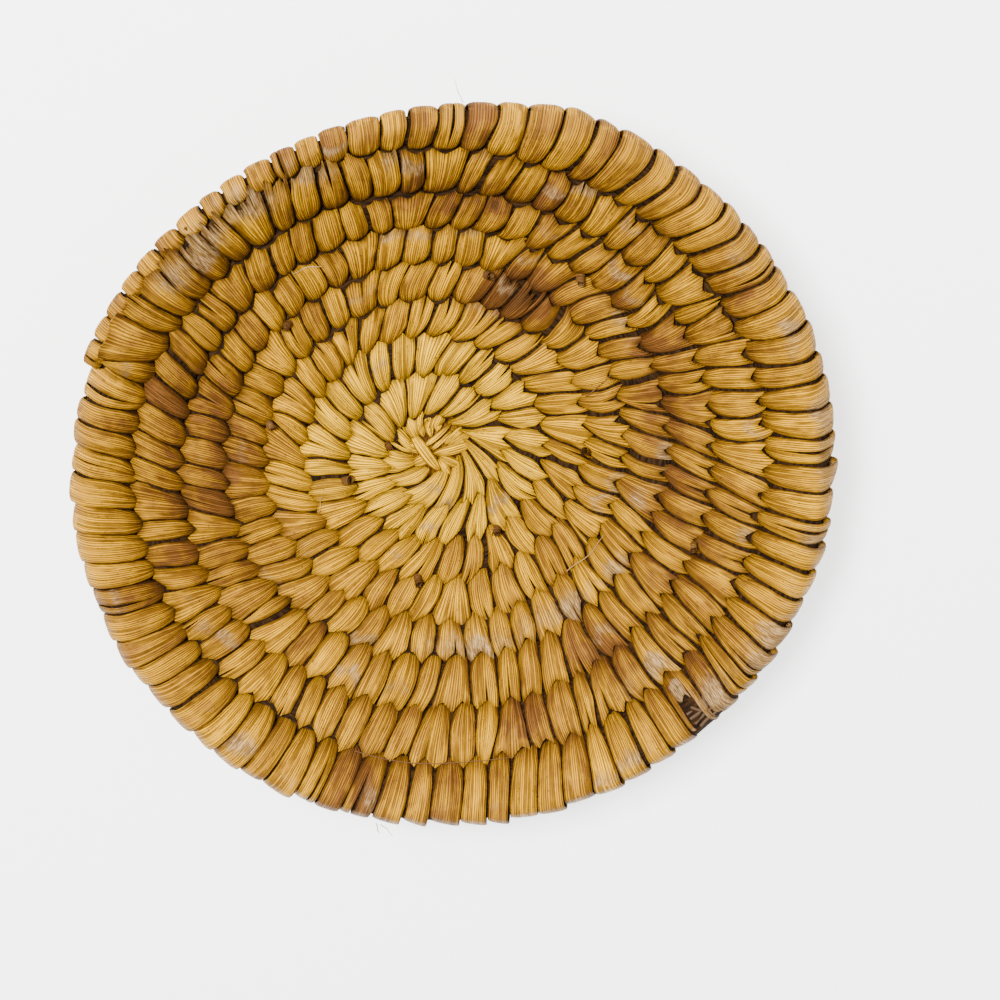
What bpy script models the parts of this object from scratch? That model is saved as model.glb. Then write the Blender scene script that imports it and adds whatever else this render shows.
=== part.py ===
"""A shallow coiled basket bowl: a bundle of grass wound in a flat spiral and sewn with leaf splints.

One foundation bundle runs unbroken from the start knot to the tapered end of the coil. Each splint
is one strip of leaf, sewn round the bundle in a row of stitches, and modelled as a ribbed sleeve
with the bundle in its bore. Metres, +Z up, standing on its base at z = 0.
"""
import math

import bmesh
import bpy
from mathutils import Vector

# The coil
KNOT_RADIUS = 0.0080
KNOT_HEIGHT = 0.0078
TURNS = 8.44
BASE_ROW_WIDTH = 0.0113
RIM_ROW_WIDTH = 0.0205
BASE_THICKNESS = 0.0092
RIM_THICKNESS = 0.0112
START_TURN = 0.20
BASE_TURNS = 2.3
WALL_SLOPE = math.radians(48)
SLOPE_EASE_TURNS = 3.2
WIDEN_FROM_TURN = 2.6
WIDEN_POWER = 1.75
BASE_FLAT_DEPTH = 0.0005

# The end of the coil, which thins out along the rim, at first fast and then slowly
TAPER_TURNS = 0.24
TAPER_POWER = 2.4
END_WIDTH = 0.0038
END_THICKNESS = 0.0050

# The stitches
FIRST_PITCH_SHARE = 0.82
PITCH_EASE_TURNS = 4.0
STITCH_RIB = 0.0007
GROOVE_RIB = 0.0002
STITCH_LEAN = math.radians(6)
SPLINT_WALL = 0.0015
FLAT_SHARE = 0.52
SIDE_SHARE = 0.68
OPEN_SIDE_SHARE = 0.35
SHORT_SPLINTS = 7
SHORT_SPLINT_STITCHES = 6
LONG_SPLINTS = 27
LONG_SPLINT_STITCHES = 12

# Clearances between pieces that touch
ROW_GAP = 0.0004
END_GAP = 0.0004
BUNDLE_GAP = 0.0003

# Clipped ends of splints, left in the grooves on the inside, in turns along the coil
CLIPPED_ENDS = (0.48, 1.55, 1.85, 2.73, 3.00, 3.47, 4.21, 4.38, 5.15, 5.95)
CLIPPED_RADIUS = 0.0008
CLIPPED_LENGTH = 0.0042
CLIPPED_RISE = 0.0013
CLIPPED_CURL = 0.0012

# Which point of a bore's six each of a sleeve's eight goes with, across the sleeve's end
END_PAIRS = (0, 1, 2, 3, 3, 4, 5, 0)

PROFILE_STEPS = 400
MARK_STEPS = 2000
TAU = 2 * math.pi


def clear_scene():
    for item in list(bpy.data.objects):
        bpy.data.objects.remove(item, do_unlink=True)


def material(name, colour, roughness):
    made = bpy.data.materials.new(name)
    made.use_nodes = True
    shader = made.node_tree.nodes["Principled BSDF"]
    shader.inputs["Base Color"].default_value = (*colour, 1)
    shader.inputs["Roughness"].default_value = roughness
    shader.inputs["Metallic"].default_value = 0
    return made


def fullness(turn):
    """0 on the base, rising to 1 where the coil is fullest at the rim."""
    return max(0.0, (turn - WIDEN_FROM_TURN) / (TURNS - WIDEN_FROM_TURN)) ** WIDEN_POWER


def row_width(turn):
    """Width of a row, measured along the wall, at the coil's outer edge."""
    return BASE_ROW_WIDTH + (RIM_ROW_WIDTH - BASE_ROW_WIDTH) * fullness(turn)


def row_thickness(turn):
    """Thickness of the coil before it tapers at its end."""
    return BASE_THICKNESS + (RIM_THICKNESS - BASE_THICKNESS) * fullness(turn)


def wall_slope(turn):
    """Rise of the wall: none on the base, then ever nearer to its full slope."""
    beyond = max(0.0, turn - BASE_TURNS)
    return WALL_SLOPE * (1 - math.exp(-beyond / SLOPE_EASE_TURNS))


def wall_profile():
    """Radius and height of the coil's outer edge, stepped along the turns."""
    points = [(KNOT_RADIUS, BASE_THICKNESS / 2 - BASE_FLAT_DEPTH)]
    step = TURNS / PROFILE_STEPS
    for index in range(PROFILE_STEPS):
        middle = (index + 0.5) * step
        reach = row_width(middle) * step
        radius, height = points[-1]
        slope = wall_slope(middle)
        points.append((radius + reach * math.cos(slope), height + reach * math.sin(slope)))
    return points


PROFILE = wall_profile()


def outer_edge(turn):
    """Radius and height of the groove on the coil's outer side."""
    place = min(max(turn, 0.0), TURNS) / TURNS * PROFILE_STEPS
    index = min(int(place), PROFILE_STEPS - 1)
    share = place - index
    before = Vector(PROFILE[index])
    return before.lerp(Vector(PROFILE[index + 1]), share)


def inner_edge(turn):
    """Groove on the inner side: the edge of the turn before, or the knot."""
    return outer_edge(turn - 1)


def end_share(turn):
    """1 along the coil, falling to 0 at its tapered end."""
    return min(1.0, max(0.0, (TURNS - turn) / TAPER_TURNS)) ** TAPER_POWER


def coil_size(turn):
    """Half width and half thickness of the coil, grooves left free."""
    full_width = (outer_edge(turn) - inner_edge(turn)).length - ROW_GAP
    share = end_share(turn)
    width = full_width if share == 1 else END_WIDTH + (full_width - END_WIDTH) * share
    thickness = END_THICKNESS + (row_thickness(turn) - END_THICKNESS) * share
    return width / 2, thickness / 2


def coil_point(turn, across, up, lean=STITCH_LEAN):
    """Point beside the coil's centre line: across towards the rim, up towards the inside."""
    turn = turn - across * math.tan(lean) / (TAU * middle_radius(turn))
    inner = inner_edge(turn)
    outwards = (outer_edge(turn) - inner).normalized()
    inwards = Vector((-outwards.y, outwards.x))
    half_width, _ = coil_size(turn)
    place = inner + outwards * (ROW_GAP / 2 + half_width + across) + inwards * up
    angle = TAU * turn
    height = max(0.0, place.y)
    return Vector((place.x * math.cos(angle), place.x * math.sin(angle), height))


def row_rise(turn):
    """Angle of a row's cross direction above level ground."""
    outwards = outer_edge(turn) - inner_edge(turn)
    return math.atan2(outwards.y, outwards.x)


def groove_fold(turn):
    """Tangent of half the bend of the wall, at the groove between this row and the next one out."""
    if turn < 0 or turn > TURNS - 1:
        return 0.0
    return math.tan((row_rise(turn + 1) - row_rise(turn)) / 2)


def section(turn, inset, outer_inset=None, inner_inset=None):
    """Eight points round the coil, flat above and below, with sides that stand along the next rows."""
    half_width, half_thick = coil_size(turn)
    outer = half_width - (inset if outer_inset is None else outer_inset)
    inner = half_width - (inset if inner_inset is None else inner_inset)
    thick = half_thick - inset
    flat = (half_width - inset) * FLAT_SHARE
    outer_side = thick * (OPEN_SIDE_SHARE if turn > TURNS - 1 else SIDE_SHARE)
    inner_side = thick * SIDE_SHARE
    outer_skew = outer_side * groove_fold(turn)
    inner_skew = inner_side * groove_fold(turn - 1)
    spots = [
        (outer - outer_skew, outer_side),
        (flat, thick),
        (-flat, thick),
        (-inner + inner_skew, inner_side),
        (-inner - inner_skew, -inner_side),
        (-flat, -thick),
        (flat, -thick),
        (outer + outer_skew, -outer_side),
    ]
    return [coil_point(turn, across, up) for across, up in spots]


def hollow(turn, inset):
    """Six points inside the coil, for a bore and the bundle that lies in it."""
    half_width, half_thick = coil_size(turn)
    side = half_width - inset
    thick = half_thick - inset
    flat = side * FLAT_SHARE
    spots = [(side, 0), (flat, thick), (-flat, thick), (-side, 0), (-flat, -thick), (flat, -thick)]
    return [coil_point(turn, across, up) for across, up in spots]


def valley(turn):
    """Section between two stitches: shallow in the grooves, full depth on the open rim."""
    open_side = turn > TURNS - 1
    return section(turn, STITCH_RIB, STITCH_RIB if open_side else GROOVE_RIB, GROOVE_RIB)


def wall_at(turn):
    """Depth of the splint's wrapping, thinner where the coil is thin."""
    half_width, half_thick = coil_size(turn)
    return min(SPLINT_WALL, 0.45 * min(half_width, half_thick))


def add_ring(mesh, points):
    return [mesh.verts.new(point) for point in points]


def bridge(mesh, first, second):
    """Faces between two rings of as many points."""
    count = len(first)
    for index in range(count):
        after = (index + 1) % count
        mesh.faces.new((first[index], first[after], second[after], second[index]))


def close_end(mesh, outside, bore):
    """Flat end of a sleeve, from its eight outer points to the six of its bore."""
    count = len(outside)
    for index in range(count):
        after = (index + 1) % count
        corners = [outside[index], outside[after], bore[END_PAIRS[after]]]
        if END_PAIRS[index] != END_PAIRS[after]:
            corners.append(bore[END_PAIRS[index]])
        mesh.faces.new(corners)


def finish(mesh, name, paint, holder, collection):
    bmesh.ops.recalc_face_normals(mesh, faces=mesh.faces)
    data = bpy.data.meshes.new(name)
    mesh.to_mesh(data)
    mesh.free()
    data.shade_smooth()
    data.set_sharp_from_angle(angle=math.radians(40))
    data.materials.append(paint)
    made = bpy.data.objects.new(name, data)
    made.parent = holder
    collection.objects.link(made)
    return made


def loft(rings, name, paint, holder, collection):
    """Closed solid through a row of rings, with a flat face at each end."""
    mesh = bmesh.new()
    placed = [add_ring(mesh, points) for points in rings]
    for first, second in zip(placed, placed[1:]):
        bridge(mesh, first, second)
    mesh.faces.new(placed[0])
    mesh.faces.new(placed[-1])
    return finish(mesh, name, paint, holder, collection)


def sleeve(outer_rings, bore_rings, name, paint, holder, collection):
    """Bent pipe: ribbed outside, plain bore, and a rim at each end."""
    mesh = bmesh.new()
    outside = [add_ring(mesh, points) for points in outer_rings]
    bore = [add_ring(mesh, points) for points in bore_rings]
    for first, second in zip(outside, outside[1:]):
        bridge(mesh, first, second)
    for first, second in zip(bore, bore[1:]):
        bridge(mesh, second, first)
    close_end(mesh, outside[0], bore[0])
    close_end(mesh, outside[-1], bore[-1])
    return finish(mesh, name, paint, holder, collection)


def middle_radius(turn):
    """Distance of the coil's centre line from the bowl's axis."""
    return (inner_edge(turn).x + outer_edge(turn).x) / 2


def stitch_marks():
    """Turns at which one stitch ends and the next begins, as close as the stitch count asks for."""
    count = SHORT_SPLINTS * SHORT_SPLINT_STITCHES + LONG_SPLINTS * LONG_SPLINT_STITCHES
    step = (TURNS - START_TURN) / MARK_STEPS
    passed = [0.0]
    for index in range(MARK_STEPS):
        turn = START_TURN + (index + 0.5) * step
        ease = min(1.0, turn / PITCH_EASE_TURNS)
        closeness = 1 / (FIRST_PITCH_SHARE + (1 - FIRST_PITCH_SHARE) * ease)
        passed.append(passed[-1] + TAU * middle_radius(turn) * step * closeness)
    marks = []
    place = 0
    for number in range(count):
        wanted = passed[-1] * number / count
        while passed[place + 1] < wanted:
            place += 1
        share = (wanted - passed[place]) / (passed[place + 1] - passed[place])
        marks.append(START_TURN + (place + share) * step)
    return marks + [TURNS]


def splint_runs():
    """First and last mark of each splint, and how many stitches lie between rings of its bore."""
    runs = []
    start = 0
    for number in range(SHORT_SPLINTS + LONG_SPLINTS):
        short = number < SHORT_SPLINTS
        end = start + (SHORT_SPLINT_STITCHES if short else LONG_SPLINT_STITCHES)
        runs.append((start, end, 1 if short else 2))
        start = end
    return runs


def gap_turns(turn, gap):
    """A gap along the coil, in turns."""
    return gap / (TAU * middle_radius(turn))


def bore_marks(marks, run):
    """Marks at which the bore and the bundle in it have a ring."""
    start, end, step = run
    return [marks[index] for index in range(start, end + 1, step)]


def make_splint(number, marks, run, paint, holder, collection):
    start, end, _ = run
    first = marks[start] + gap_turns(marks[start], END_GAP / 2)
    final = marks[end] - gap_turns(marks[end], END_GAP / 2)
    outer = []
    for index in range(start, end + 1):
        turn = min(max(marks[index], first), final)
        outer.append(valley(turn))
        if index < end:
            outer.append(section((marks[index] + marks[index + 1]) / 2, 0))
    bore = []
    for mark in bore_marks(marks, run):
        turn = min(max(mark, first), final)
        bore.append(hollow(turn, wall_at(turn)))
    sleeve(outer, bore, f"splint_{number:02d}", paint, holder, collection)


def make_bundle(marks, runs, paint, holder, collection):
    """The foundation: one unbroken tube through every splint, a ring wherever the bores have one."""
    turns = [marks[0]]
    for run in runs:
        turns += bore_marks(marks, run)[1:]
    turns[-1] -= gap_turns(turns[-1], END_GAP)
    rings = [hollow(turn, wall_at(turn) + BUNDLE_GAP) for turn in turns]
    print_least_gap(rings)
    loft(rings, "foundation_bundle", paint, holder, collection)


def print_least_gap(rings):
    """Least gap of the bundle to itself, point to point between one turn and the next."""
    per_turn = 8
    least = min(
        (first - second).length
        for index, ring in enumerate(rings)
        for other in rings[index + per_turn:]
        for first in ring
        for second in other
    )
    print(f"foundation_bundle: least gap to itself {least * 1000:.2f} mm")


def make_knot(paint, holder, collection):
    """Low round knot that the coil starts from, turned from a profile with a flat foot."""
    radius = KNOT_RADIUS - ROW_GAP
    profile = [
        (0, KNOT_HEIGHT),
        (0.45 * radius, 0.96 * KNOT_HEIGHT),
        (0.82 * radius, 0.80 * KNOT_HEIGHT),
        (radius, 0.50 * KNOT_HEIGHT),
        (0.86 * radius, 0),
        (0, 0),
    ]
    mesh = bmesh.new()
    line = [mesh.verts.new((across, 0, height)) for across, height in profile]
    for above, below in zip(line, line[1:]):
        mesh.edges.new((above, below))
    data = bpy.data.meshes.new("start_knot")
    mesh.to_mesh(data)
    mesh.free()
    data.materials.append(paint)
    made = bpy.data.objects.new("start_knot", data)
    turned = made.modifiers.new("turned", "SCREW")
    turned.steps = 16
    turned.render_steps = 16
    turned.use_merge_vertices = True
    turned.merge_threshold = 0.00001
    turned.use_smooth_shade = True
    made.parent = holder
    collection.objects.link(made)


def make_clipped_end(number, turn, paint, holder, collection):
    """Short curl of splint that lies on the groove and lifts at one end."""
    half_width, half_thick = coil_size(turn)
    groove = half_width + ROW_GAP / 2
    length = gap_turns(turn, CLIPPED_LENGTH)
    rings = []
    for step in range(4):
        share = step / 3
        lift = half_thick * SIDE_SHARE + CLIPPED_RISE + CLIPPED_CURL * share * share
        radius = CLIPPED_RADIUS * (1 - 0.25 * share)
        here = turn + length * (share - 0.5)
        ring = []
        for side in range(6):
            angle = TAU * side / 6
            across = groove - lift * groove_fold(turn) + radius * math.cos(angle)
            ring.append(coil_point(here, across, lift + radius * math.sin(angle), 0))
        rings.append(ring)
    loft(rings, f"clipped_end_{number:02d}", paint, holder, collection)


def centre_shift(marks):
    """Move that brings the middle of the outline over the origin."""
    reach = []
    for before, after in zip(marks, marks[1:]):
        if after > TURNS - 1.5:
            reach += section((before + after) / 2, 0)
            reach += valley(after)
    middle_x = (min(point.x for point in reach) + max(point.x for point in reach)) / 2
    middle_y = (min(point.y for point in reach) + max(point.y for point in reach)) / 2
    return Vector((-middle_x, -middle_y, 0))


def main():
    clear_scene()
    collection = bpy.data.collections.new("coiled_basket_bowl")
    bpy.context.scene.collection.children.link(collection)
    holder = bpy.data.objects.new("basket_origin", None)
    collection.objects.link(holder)

    straw = material("leaf_splint_straw", (0.62, 0.42, 0.13), 0.55)
    ochre = material("leaf_splint_ochre", (0.52, 0.29, 0.06), 0.45)
    grass = material("grass_bundle", (0.28, 0.19, 0.09), 0.85)
    bark = material("dry_splint_end", (0.34, 0.18, 0.06), 0.7)

    marks = stitch_marks()
    runs = splint_runs()
    holder.location = centre_shift(marks)

    make_knot(straw, holder, collection)
    make_bundle(marks, runs, grass, holder, collection)
    for number, run in enumerate(runs, start=1):
        paint = straw if number <= SHORT_SPLINTS else ochre
        make_splint(number, marks, run, paint, holder, collection)
    for number, turn in enumerate(CLIPPED_ENDS, start=1):
        make_clipped_end(number, turn, bark, holder, collection)
    print(f"{len(marks) - 1} stitches in {len(runs)} splints")


main()
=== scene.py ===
"""Looks of a coiled basket bowl: leaf splints sewn over a grass bundle, wound from a knot to the rim."""

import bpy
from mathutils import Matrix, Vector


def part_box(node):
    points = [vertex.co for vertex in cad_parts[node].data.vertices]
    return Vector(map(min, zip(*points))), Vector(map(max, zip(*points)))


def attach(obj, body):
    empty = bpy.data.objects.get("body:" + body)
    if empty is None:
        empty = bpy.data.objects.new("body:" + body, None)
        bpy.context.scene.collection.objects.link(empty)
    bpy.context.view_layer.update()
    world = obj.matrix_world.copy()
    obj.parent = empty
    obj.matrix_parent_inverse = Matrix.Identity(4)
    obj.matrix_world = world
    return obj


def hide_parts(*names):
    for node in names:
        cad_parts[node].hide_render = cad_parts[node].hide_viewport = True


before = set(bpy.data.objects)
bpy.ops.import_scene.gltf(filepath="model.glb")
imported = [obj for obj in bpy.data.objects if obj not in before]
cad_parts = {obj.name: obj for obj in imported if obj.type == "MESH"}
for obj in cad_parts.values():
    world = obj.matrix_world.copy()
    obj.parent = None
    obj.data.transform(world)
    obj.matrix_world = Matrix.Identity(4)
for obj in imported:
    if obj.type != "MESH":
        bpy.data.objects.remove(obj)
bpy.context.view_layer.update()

import bisect
import math
import random

import bmesh
import bpy
from mathutils import Matrix, Vector

TAU = 2 * math.pi
MM = 0.001

# The coil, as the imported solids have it
KNOT_RADIUS = 8.0 * MM
KNOT_HEIGHT = 7.8 * MM
TURNS = 8.44
BASE_ROW_WIDTH = 11.3 * MM
RIM_ROW_WIDTH = 20.5 * MM
BASE_THICKNESS = 9.2 * MM
RIM_THICKNESS = 11.2 * MM
START_TURN = 0.20
BASE_TURNS = 2.3
WALL_SLOPE = math.radians(48)
SLOPE_EASE_TURNS = 3.2
WIDEN_FROM_TURN = 2.6
WIDEN_POWER = 1.75
BASE_FLAT_DEPTH = 0.5 * MM
TAPER_TURNS = 0.24
TAPER_POWER = 2.4
END_WIDTH = 3.8 * MM
END_THICKNESS = 5.0 * MM
ROW_GAP = 0.4 * MM
FIRST_PITCH_SHARE = 0.82
PITCH_EASE_TURNS = 4.0
SHORT_SPLINTS = 7
SHORT_SPLINT_STITCHES = 6
LONG_SPLINTS = 27
LONG_SPLINT_STITCHES = 12
CLIPPED_ENDS = (0.48, 1.55, 1.85, 2.73, 3.00, 3.47, 4.21, 4.38, 5.15, 5.95)
PROFILE_STEPS = 1600
MARK_STEPS = 4000

# Lean of the stitches in degrees: a turn of the coil, then one value for each 30 degrees round the bowl
LEAN_PLACES = 12
LEANS = (
    (1.0, (30, 20, 22, 26, 24, 22, 22, 24, 30, 36, 38, 36)),
    (1.8, (20, 11, 14, 20, 21, 22, 15, 11, 22, 30, 35, 26)),
    (3.0, (13, 7, 17, 23, 22, 15, 29, 20, 24, 19, 3, 17)),
    (4.3, (19, 11, 12, 6, 25, 18, 27, 17, 9, 10, 17, 14)),
    (5.7, (12, 0, 9, 3, 11, 13, 26, 28, 9, 11, 5, 7)),
    (6.9, (1, -6, 9, 7, 6, 9, 26, 16, 10, 12, 19, 8)),
    (7.9, (-2, -1, 6, 7, 6, 4, 26, 15, 15, 6, 1, 6)),
)

# Depth of the jagged line between two rows: degrees round the bowl, then a share of the full depth
JAG_DEPTHS = (
    (0, 1.05),
    (30, 0.85),
    (50, 0.62),
    (80, 0.52),
    (115, 0.50),
    (180, 0.50),
    (210, 0.65),
    (240, 0.85),
    (285, 0.90),
    (315, 1.10),
)

# Outer ends: forked on the right of a pixel column of the photograph, pointed on its left
FORKS_RIGHT_OF = 500
FORK_DRIFT = 70
SNAP_MOST = 0.28

# How far one stitch differs from the next
LEAN_DRIFT = 4.0
BEND_DRIFT = 0.22 * MM
LINE_DRIFT = 0.55 * MM
DRIFT_MEMORY = 0.72
MARK_SPREAD = 0.20
LIFTS_MM = (-0.25, 0.30)
ROLL = 0.07
ROLL_SPREAD = 0.05
SLANT_SPREAD = 0.45
EDGES_OUT_MM = (-0.9, 0.35)
WAVES_MM = (0.05, 0.16)
NECKS = (0.87, 0.97)
LEAF_ENDS_MM = (-0.2, 0.2)
SLIVER_ENDS_MM = (-0.5, 0.25)
FRAY_ENDS_MM = (-2.2, 2.0)
SLIVER_RISES_MM = (-0.3, 1.3)
HEAD_SHARES = (0.75, 1.2)
PRONG_SHARES = (0.6, 1.3)
SIDE_GAP = 0.075 * MM
GAP_SPREAD = 0.10 * MM
WIDE_GAP_CHANCE = 0.045
WIDE_GAP_FROM_MM = 0.4
WIDEST_GAP_MM = 1.3
WIDEST_RIM_GAP_MM = 0.6
SCUFF_CHANCE = 0.15
SCUFFS = (0.25, 0.7)
SCUFF_PLACES = (0.5, 1.0)
SCUFF_REACH = 0.18

# Lengthwise splits of a leaf
SLIT_CHANCE = 0.24
EARLY_SLIT_CHANCE = 0.34
RIM_SLIT_CHANCE = 0.14
EARLY_TURNS = 4
SLITS_FROM = (0.35, 0.75)
SLIT_GAPES_MM = (0.10, 0.45)
SLIT_AT_NOTCH_CHANCE = 0.7
SLIT_NOTCHES_WITHIN = 0.7
SLIT_PLACES = (-0.5, 0.5)
SLIT_FALL = 0.35 * MM
FRAYED = 0.35
FRAY_CUTS = (-0.74, -0.46, -0.2, 0.08, 0.34, 0.62)
FRAY_SLITS_FROM = (0.62, 0.8)
FRAY_GAPE = 0.10 * MM
BREAK_CUTS = (-0.55, 0.45)

# Form of a leaf
STRIP_THICKNESS = 0.40 * MM
UNDERSIDE = 0.45 * MM
HEAD_TUCK = 1.2 * MM
HEAD_REACH = 1.8 * MM
HEAD_POWER = 1.25
PRONG_REACH = 1.6 * MM
LAP = 4.2 * MM
UNDER_LAP = 0.7 * MM
UNDER_CLIMB_FROM = 0.7
UNDER_CLIMB = 0.85
LAP_RISE = 1.5 * MM
LAP_SINK = 1.0 * MM
NECK_LENGTH = 0.35
TIP_NARROW = 0.11
PILLOW = 0.85 * MM
HEAD_FALL = 1.15 * MM
CROWN_POWER = 2.2
CROWN_FLOOR = 0.42
CROWN_PAST_HEADS = 1.0 * MM
RIM_BACK_POWER = 3.4
RIM_NARROW = 0.04
FREE_TIP = 0.4 * MM
FIRST_TURN_TUCK = 2.6 * MM
KINKS_WITHIN = 0.9
KINK_REACH = 0.14
VEIN_FAN = 0.72
VEIN_FAN_LENGTH = 0.45
STITCH_COLUMNS = 8
STITCH_ROWS = 9
SLIVER_COLUMNS = 4
SHREDS = 5
SHRED_COLUMNS = 1
UNDER_COLUMNS = 6
UNDER_ROWS = 7
RIM_ROWS = 20
RIM_START = 0.03
BREAK_STOP = 0.17

# The grass bundle inside the stitches
BUNDLE_STRANDS = 11
BUNDLE_STEPS = 700
BUNDLE_OVERLAP = 0.35 * MM
BUNDLE_DEPTH = 1.5 * MM
BUNDLE_FLUTE = 0.07
BUNDLE_SQUARENESS = 2.6
BUNDLE_RIM_SIDE = -1.6 * MM
BUNDLE_BREAK_SIDE = -0.6 * MM
BUNDLE_FLOOR = 0.3 * MM
BUNDLE_END_LEFT = 0.004
BREAK_REACH = 0.02

# The photograph's view: bowl axis against the line of sight, scale, distance and place of the knot
AXIS_RIGHT = 0.0598
AXIS_DOWN = 0.3617
MM_PER_PIXEL = 0.275
VIEW_DISTANCE_PIXELS = 3000
FRAME_PIXELS = 1000
KNOT_PIXEL = (436, 446.2)
SENSOR_MM = 36.0

# Square of the reaches at which a patch has faded out
PATCH_ENDS_AT = 8

# Patches of the basket as they lie in the photograph: middle, reach across and down in pixels, strength
PLAIN_AMBER = 0.42
AMBER_AND_PAINTED_LIGHT_PATCHES = (
    (440, 445, 150, 140, -0.60),
    (225, 480, 40, 90, 0.55),
    (165, 440, 30, 70, 0.25),
    (250, 285, 50, 50, 0.14),
    # Lighter here in part as painted light, offsetting the shade that the lamp's grazing light leaves on
    # the upper-left wall
    (222, 226, 52, 34, -0.55),
    (430, 200, 60, 18, 0.50),
    (520, 205, 60, 22, 0.40),
    (520, 298, 38, 28, 1.30),
    (506, 292, 26, 18, 0.70),
    (495, 206, 5, 5, 2.20),
    (600, 300, 40, 30, 0.35),
    (660, 400, 34, 60, 0.50),
    (670, 510, 36, 50, 0.40),
    (610, 655, 50, 30, 0.45),
    (525, 722, 20, 22, 0.50),
    (365, 790, 10, 26, 1.20),
    (430, 130, 90, 22, 0.20),
    (800, 460, 40, 130, -0.25),
    (560, 770, 90, 30, -0.10),
    (128, 290, 20, 30, 0.30),
    (163, 243, 20, 20, 0.30),
    (205, 203, 20, 18, 0.30),
    (250, 172, 24, 14, 0.30),
    (300, 150, 26, 12, 0.35),
    (345, 138, 30, 12, 0.35),
    (450, 112, 60, 14, 0.25),
    (560, 125, 50, 18, 0.25),
    (640, 165, 40, 30, 0.15),
    (700, 330, 30, 40, 0.20),
    (745, 292, 26, 30, 0.40),
    (662, 312, 24, 28, -0.22),
    (300, 700, 60, 40, -0.12),
    (692, 592, 36, 52, 0.26),
    (640, 350, 22, 24, 0.20),
)
SCUFF_PATCHES = (
    (490, 286, 14, 14, 0.25),
    (524, 300, 16, 12, 0.25),
    (465, 640, 66, 22, 0.75),
    (535, 612, 26, 20, 0.60),
    (665, 455, 14, 20, 0.80),
    (634, 499, 18, 18, 0.80),
    (615, 566, 18, 20, 0.80),
    (568, 602, 20, 20, 0.80),
    (205, 626, 16, 12, 0.70),
    (188, 594, 13, 12, 0.60),
    (470, 228, 22, 12, 0.65),
    (620, 320, 20, 16, 0.60),
    (175, 280, 26, 24, 0.80),
    (205, 238, 28, 24, 0.95),
    (250, 203, 32, 20, 1.00),
    (310, 172, 34, 18, 0.75),
    (390, 158, 16, 20, 0.60),
    (700, 702, 30, 30, 0.90),
    (745, 650, 24, 24, 0.60),
    (650, 748, 22, 14, 0.50),
    (792, 590, 16, 30, 0.55),
    (824, 450, 14, 80, 0.72),
    (792, 350, 14, 36, 0.60),
    (735, 265, 24, 30, 0.62),
    (650, 190, 30, 20, 0.45),
    (240, 745, 24, 18, 0.60),
    (212, 705, 16, 16, 0.60),
    (292, 782, 18, 12, 0.60),
    (372, 795, 14, 24, 0.90),
    (492, 805, 14, 12, 0.50),
    (600, 775, 22, 12, 0.50),
    (813, 545, 14, 14, 0.75),
    (768, 626, 18, 20, 0.70),
    (716, 678, 18, 18, 0.55),
    (650, 660, 14, 16, 0.70),
    (628, 690, 12, 18, 0.60),
    (745, 534, 16, 12, 0.70),
    (786, 328, 16, 10, 0.60),
    (813, 411, 12, 10, 0.60),
)
FRAY_PATCHES = (
    (490, 286, 12, 12, 1.0),
    (524, 300, 12, 10, 1.0),
    (185, 265, 22, 20, 1.0),
    (225, 225, 26, 22, 1.0),
    (265, 198, 22, 18, 1.0),
    (310, 172, 20, 14, 0.8),
)

KNOT_BALL_RADIUS = 1.3 * KNOT_RADIUS
KNOT_BALL_SINK = 0.5 * MM
KNOT_DOME_RADIUS = 1.5 * KNOT_RADIUS

# Strips of the starting knot, in mm from its middle: start, end, width, rise over the dome
KNOT_STRIPS = (
    (-5.8, 10.2, -3.4, 4.0, 2.7, 0.5),
    (-2.7, 10.4, -1.5, 4.0, 2.8, 0.6),
    (0.6, 10.4, 0.2, 5.4, 2.5, 0.5),
    (7.2, 5.8, 2.4, 1.8, 2.6, 0.1),
    (9.0, 4.0, 3.0, 1.0, 2.6, 0.2),
    (6.5, -4.9, 0.8, -1.8, 2.8, 0.4),
    (3.6, -7.4, 0.6, -2.4, 2.5, 0.3),
    (-8.0, 1.0, -1.5, 0.0, 3.2, 0.4),
    (-6.2, -4.2, -0.8, -1.2, 3.2, 0.4),
    (9.6, 1.4, -0.8, -0.9, 2.9, 1.0),
    (-3.4, 1.4, 4.0, 7.6, 1.5, 1.5),
    (-1.2, 0.4, 4.2, 5.4, 1.3, 0.9),
    (-6.4, 4.3, 0.8, -5.8, 3.4, 1.4),
)

# Loose fibres: turn and mm from the inner groove at both ends, mm above the leaf, thickness in mm, waviness
BROWN_FIBRES = (
    (7.705, 0.4, 7.796, 0.9, 0.4, 0.12, 0.5),
    (7.722, 18.0, 7.724, 20.9, -2.0, 0.13, 0.4),
    (4.060, 2.0, 4.072, 11.0, 0.3, 0.13, 0.4),
)
BROKEN_STEMS = (
    (7.876, 11.6, 7.893, 12.2, -2.1, 0.36, 0.2),
    (7.876, 13.2, 7.893, 13.6, -1.9, 0.40, 0.2),
    (7.876, 14.9, 7.893, 14.6, -2.1, 0.38, 0.2),
    (7.877, 16.2, 7.893, 15.8, -2.5, 0.40, 0.2),
    (7.8800, 11.0, 7.8850, 15.6, -1.4, 0.34, 0.3),
    (7.8880, 10.6, 7.8840, 15.8, -1.3, 0.36, 0.3),
    (7.8840, 10.4, 7.8885, 15.4, -1.6, 0.30, 0.3),
)
PALE_FIBRES = (
    (4.878, 0.0, 4.925, 1.6, 0.6, 0.13, 0.5),
    (8.243, 19.0, 8.247, 28.0, 0.0, 0.10, 0.6),
    (7.724, 18.0, 7.730, 20.7, -2.5, 0.12, 0.4),
    (5.330, 10.0, 5.352, 13.5, 0.3, 0.10, 0.5),
    (2.560, 8.0, 2.585, 12.0, 0.3, 0.10, 0.5),
)
BREAK_TURN = 7.884
CURL_SIZES_MM = (1.1, 1.5)
CURL_TURNS = 1.45
CURL_CORE = 0.38
CURL_THICKNESS = 0.22 * MM
FIBRE_STEPS = 26
FIBRE_SIDES = 5
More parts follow.
